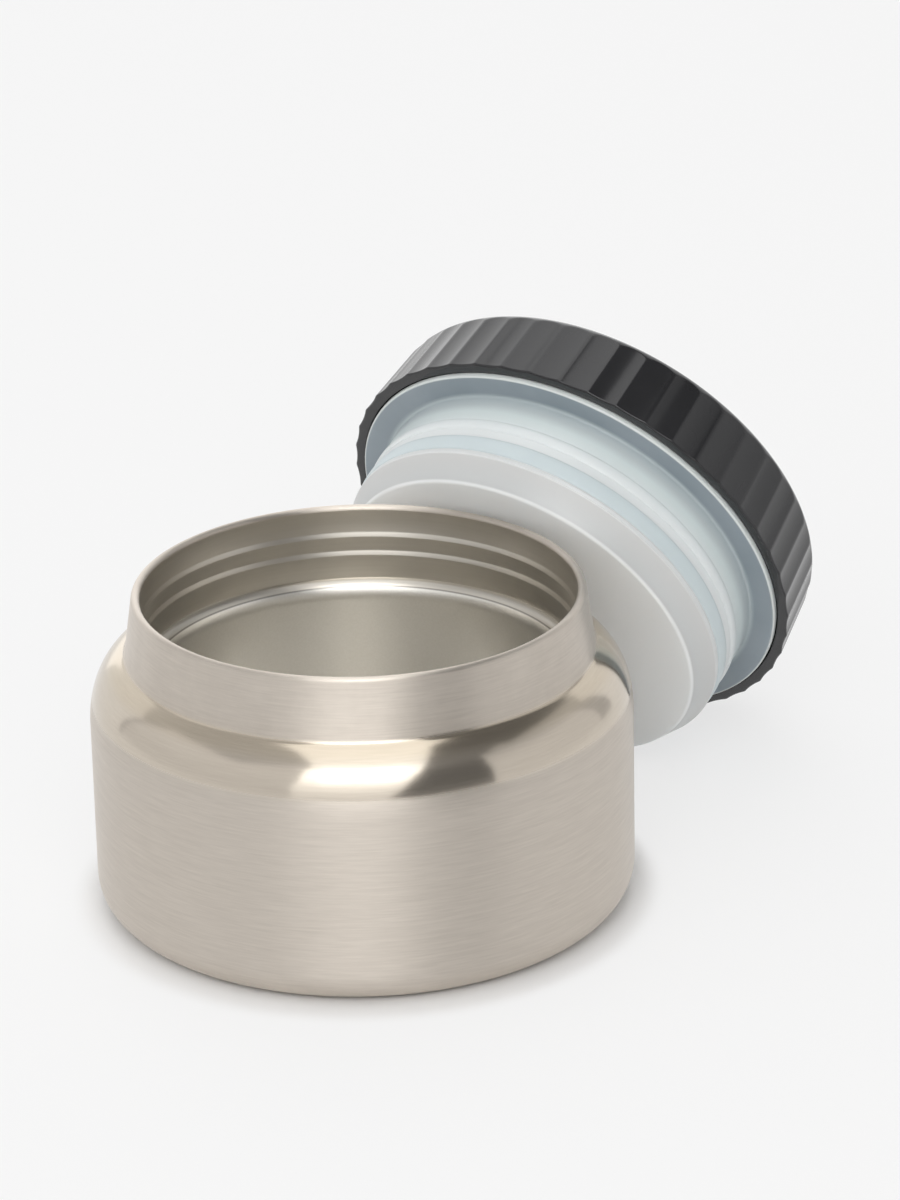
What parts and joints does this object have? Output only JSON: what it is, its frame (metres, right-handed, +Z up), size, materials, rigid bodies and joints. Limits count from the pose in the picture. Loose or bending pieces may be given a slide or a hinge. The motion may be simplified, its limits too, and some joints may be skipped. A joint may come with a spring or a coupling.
{
  "type": "insulated food jar",
  "caption": "Squat double-walled steel food jar with an open threaded mouth and its black fluted screw lid, with a clear-white insulated plug, leaning on edge beside it.",
  "frame": {"origin": "centre of the jar's base, on the table", "axes": "+Z up along the jar's axis, out of its mouth; -Y towards the viewer of the picture; the lid lies towards +X and +Y"},
  "size_m": [0.1443, 0.1616, 0.0935],
  "materials": {
    "brushed_steel": "satin",
    "blasted_steel": "matte",
    "base_steel": "satin",
    "seal_glass": "satin",
    "getter_metal": "matte",
    "copper_foil": "polished",
    "black_plastic": "gloss",
    "clear_white_plastic": "satin",
    "silicone": "satin",
    "foam": "matte"
  },
  "bodies": {
    "jar": {"outer_shell": "brushed_steel", "inner_shell": "blasted_steel", "base_plate": "base_steel", "base_cover": "base_steel", "vacuum_seal": "seal_glass", "getter_pill": "getter_metal", "radiation_foil": "copper_foil"},
    "lid_core": {"insulation_core": "foam"},
    "lid": {"cap": "black_plastic", "plug_sleeve": "clear_white_plastic", "plug_base": "clear_white_plastic", "seal_ring": "silicone"}
  },
  "joints": [
    {"name": "lid_swing", "type": "hinge", "parent": "jar", "child": "lid_core", "pos_m": [-0.01997, -0.03051, 0.02828], "axis": [0.8368, -0.5476, 0], "range_deg": [0, 64]},
    {"name": "lid_turn", "type": "hinge", "parent": "lid_core", "child": "lid", "pos_m": [0.04377, 0.06689, 0.04448], "axis": [-0.4921, -0.7521, -0.4384], "continuous": true}
  ]
}
